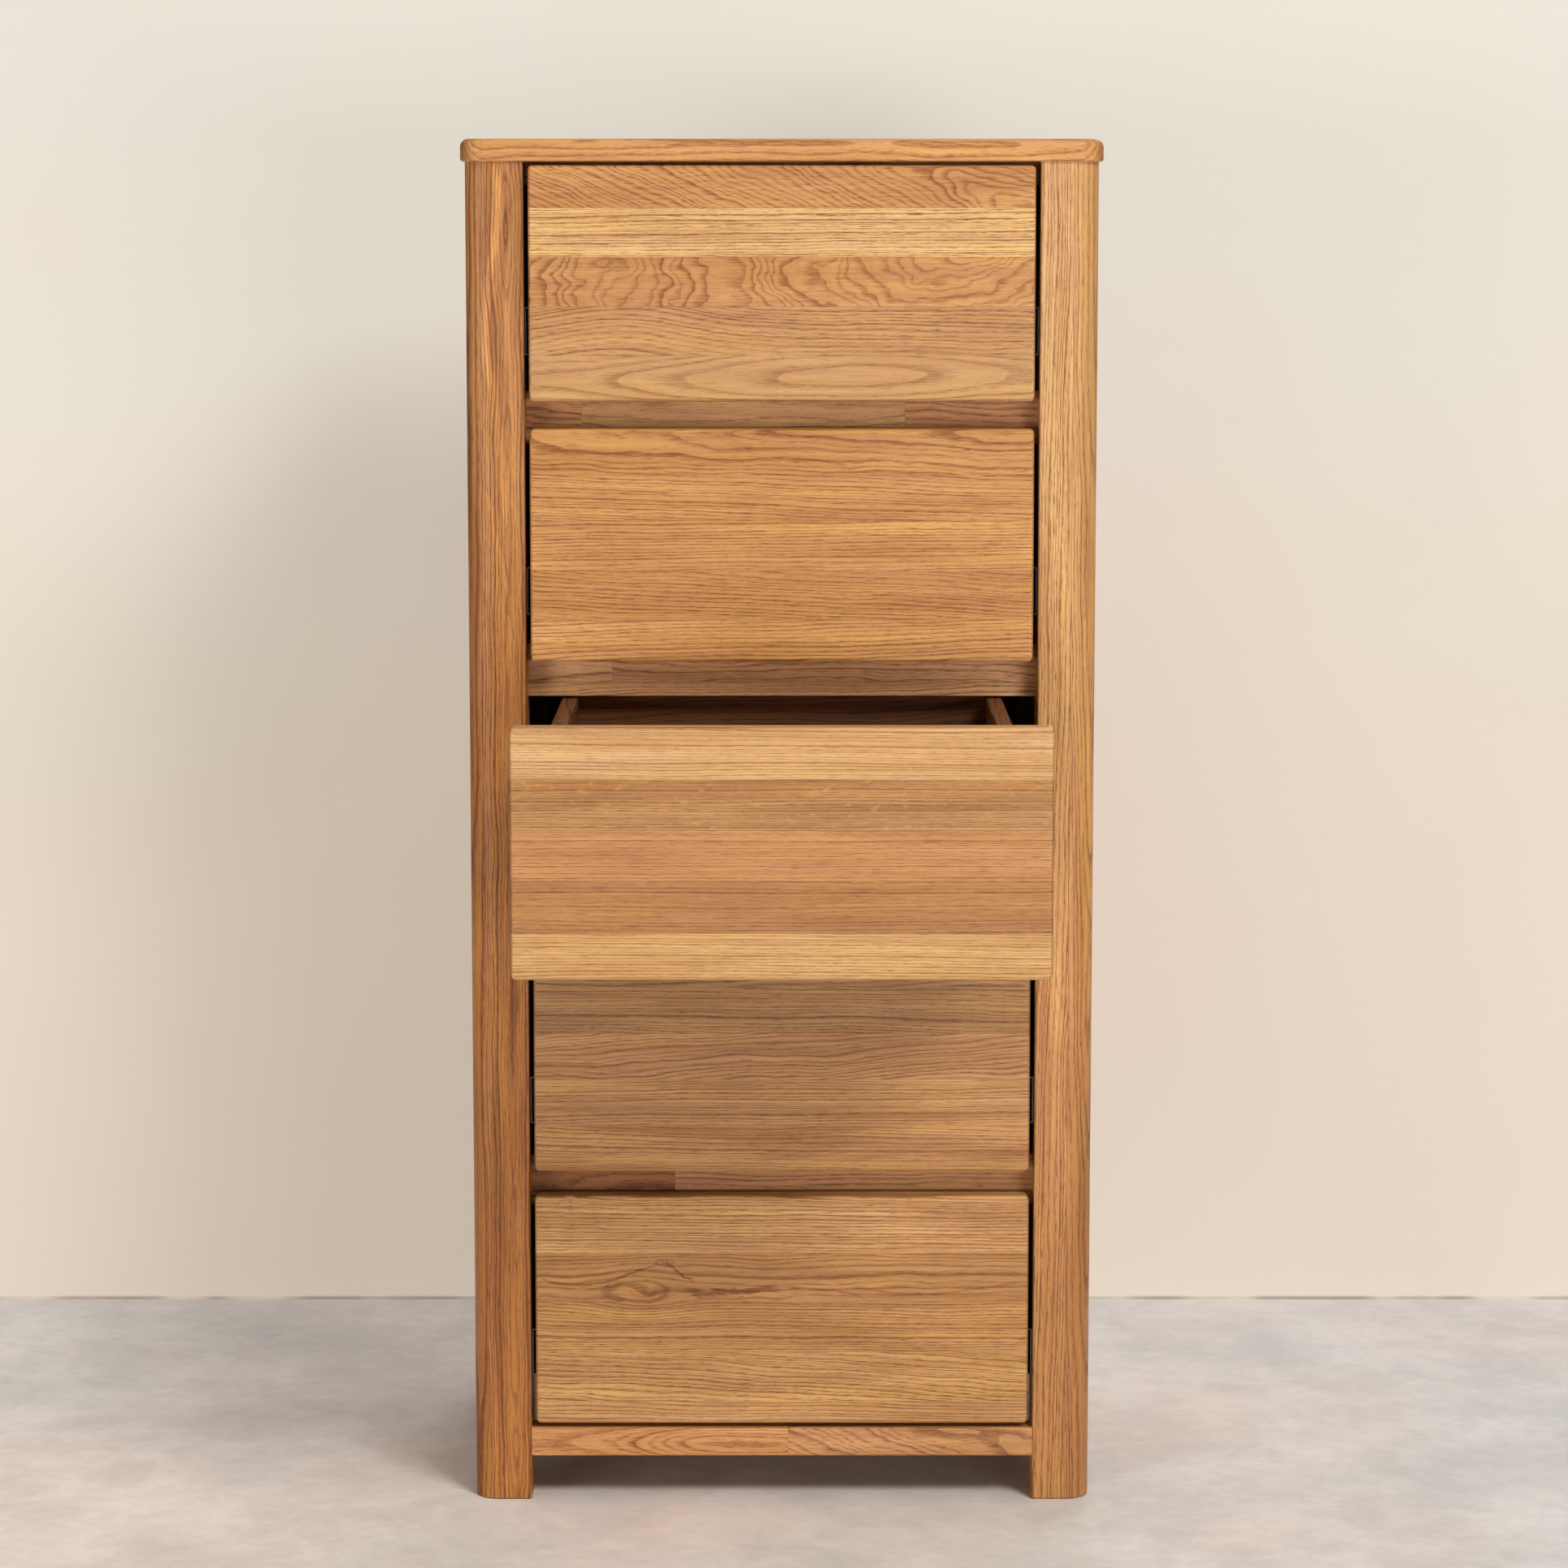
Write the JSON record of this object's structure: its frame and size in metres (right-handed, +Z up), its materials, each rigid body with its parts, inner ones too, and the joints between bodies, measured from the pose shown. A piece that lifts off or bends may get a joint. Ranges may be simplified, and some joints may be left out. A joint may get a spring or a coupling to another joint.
{
  "type": "tall chest of drawers",
  "caption": "Tall narrow oak chest on post feet, with handle-less drawers that pull out by the gaps between them on ball-bearing side slides.",
  "frame": {"origin": "on the floor, under the middle of the carcass, with the open drawer left out of account", "axes": "+Z up, -Y the way the drawers open, +X to the right of someone who faces the drawers"},
  "size_m": [0.6, 0.796, 1.3],
  "materials": {
    "oak_carcass": "oiled solid oak, edge-glued staves, satin",
    "oak_front": "oiled solid oak, edge-glued staves, satin",
    "oak_drawer_box": "solid oak, lightly oiled, matt",
    "oak_back_board": "oak-faced board, matt",
    "drawer_bottom_board": "oak-faced board, matt",
    "runner_hardwood": "planed hardwood, raw",
    "dowel_wood": "fluted beech, raw",
    "slide_steel": "zinc-plated, satin",
    "screw_steel": "yellow zinc-plated"
  },
  "bodies": {
    "carcass": {"top_panel": "oak_carcass", "front_left_post": "oak_carcass", "front_right_post": "oak_carcass", "rear_left_post": "oak_carcass", "rear_right_post": "oak_carcass", "left_side_panel": "oak_carcass", "right_side_panel": "oak_carcass", "back_panel": "oak_back_board", "front_top_rail": "oak_carcass", "rear_top_rail": "oak_carcass", "front_bottom_rail": "oak_carcass", "rear_bottom_rail": "oak_carcass", "divider_rail_1": "oak_carcass", "divider_rail_2": "oak_carcass", "divider_rail_3": "oak_carcass", "divider_rail_4": "oak_carcass", "slide_battens": "runner_hardwood", "cabinet_slide_members": "slide_steel", "rail_dowels": "dowel_wood", "top_fixing_screws": "screw_steel"},
    "drawer_1": {"drawer_1_front": "oak_front", "drawer_1_left_side": "oak_drawer_box", "drawer_1_right_side": "oak_drawer_box", "drawer_1_back": "oak_drawer_box", "drawer_1_bottom": "drawer_bottom_board", "drawer_1_side_packers": "runner_hardwood", "drawer_1_slide_members": "slide_steel"},
    "drawer_1_middle": {"drawer_1_middle_members": "slide_steel"},
    "drawer_2": {"drawer_2_front": "oak_front", "drawer_2_left_side": "oak_drawer_box", "drawer_2_right_side": "oak_drawer_box", "drawer_2_back": "oak_drawer_box", "drawer_2_bottom": "drawer_bottom_board", "drawer_2_side_packers": "runner_hardwood", "drawer_2_slide_members": "slide_steel"},
    "drawer_2_middle": {"drawer_2_middle_members": "slide_steel"},
    "drawer_3": {"drawer_3_front": "oak_front", "drawer_3_left_side": "oak_drawer_box", "drawer_3_right_side": "oak_drawer_box", "drawer_3_back": "oak_drawer_box", "drawer_3_bottom": "drawer_bottom_board", "drawer_3_side_packers": "runner_hardwood", "drawer_3_slide_members": "slide_steel"},
    "drawer_3_middle": {"drawer_3_middle_members": "slide_steel"},
    "drawer_4": {"drawer_4_front": "oak_front", "drawer_4_left_side": "oak_drawer_box", "drawer_4_right_side": "oak_drawer_box", "drawer_4_back": "oak_drawer_box", "drawer_4_bottom": "drawer_bottom_board", "drawer_4_side_packers": "runner_hardwood", "drawer_4_slide_members": "slide_steel"},
    "drawer_4_middle": {"drawer_4_middle_members": "slide_steel"},
    "drawer_5": {"drawer_5_front": "oak_front", "drawer_5_left_side": "oak_drawer_box", "drawer_5_right_side": "oak_drawer_box", "drawer_5_back": "oak_drawer_box", "drawer_5_bottom": "drawer_bottom_board", "drawer_5_side_packers": "runner_hardwood", "drawer_5_slide_members": "slide_steel"},
    "drawer_5_middle": {"drawer_5_middle_members": "slide_steel"}
  },
  "joints": [
    {"name": "drawer_1_slide", "type": "slide", "parent": "carcass", "child": "drawer_1", "axis": [0, -1, 0], "range_m": [0, 0.4]},
    {"name": "drawer_1_middle_slide", "type": "slide", "parent": "carcass", "child": "drawer_1_middle", "axis": [0, -1, 0], "range_m": [0, 0.2]},
    {"name": "drawer_2_slide", "type": "slide", "parent": "carcass", "child": "drawer_2", "axis": [0, -1, 0], "range_m": [0, 0.4]},
    {"name": "drawer_2_middle_slide", "type": "slide", "parent": "carcass", "child": "drawer_2_middle", "axis": [0, -1, 0], "range_m": [0, 0.2]},
    {"name": "drawer_3_slide", "type": "slide", "parent": "carcass", "child": "drawer_3", "axis": [0, -1, 0], "range_m": [-0.35, 0.05]},
    {"name": "drawer_3_middle_slide", "type": "slide", "parent": "carcass", "child": "drawer_3_middle", "axis": [0, -1, 0], "range_m": [-0.175, 0.025]},
    {"name": "drawer_4_slide", "type": "slide", "parent": "carcass", "child": "drawer_4", "axis": [0, -1, 0], "range_m": [0, 0.4]},
    {"name": "drawer_4_middle_slide", "type": "slide", "parent": "carcass", "child": "drawer_4_middle", "axis": [0, -1, 0], "range_m": [0, 0.2]},
    {"name": "drawer_5_slide", "type": "slide", "parent": "carcass", "child": "drawer_5", "axis": [0, -1, 0], "range_m": [0, 0.4]},
    {"name": "drawer_5_middle_slide", "type": "slide", "parent": "carcass", "child": "drawer_5_middle", "axis": [0, -1, 0], "range_m": [0, 0.2]}
  ],
  "couplings": [
    {"joint": "drawer_1_middle_slide", "follows": "drawer_1_slide", "ratio": 0.5},
    {"joint": "drawer_2_middle_slide", "follows": "drawer_2_slide", "ratio": 0.5},
    {"joint": "drawer_3_middle_slide", "follows": "drawer_3_slide", "ratio": 0.5},
    {"joint": "drawer_4_middle_slide", "follows": "drawer_4_slide", "ratio": 0.5},
    {"joint": "drawer_5_middle_slide", "follows": "drawer_5_slide", "ratio": 0.5}
  ]
}
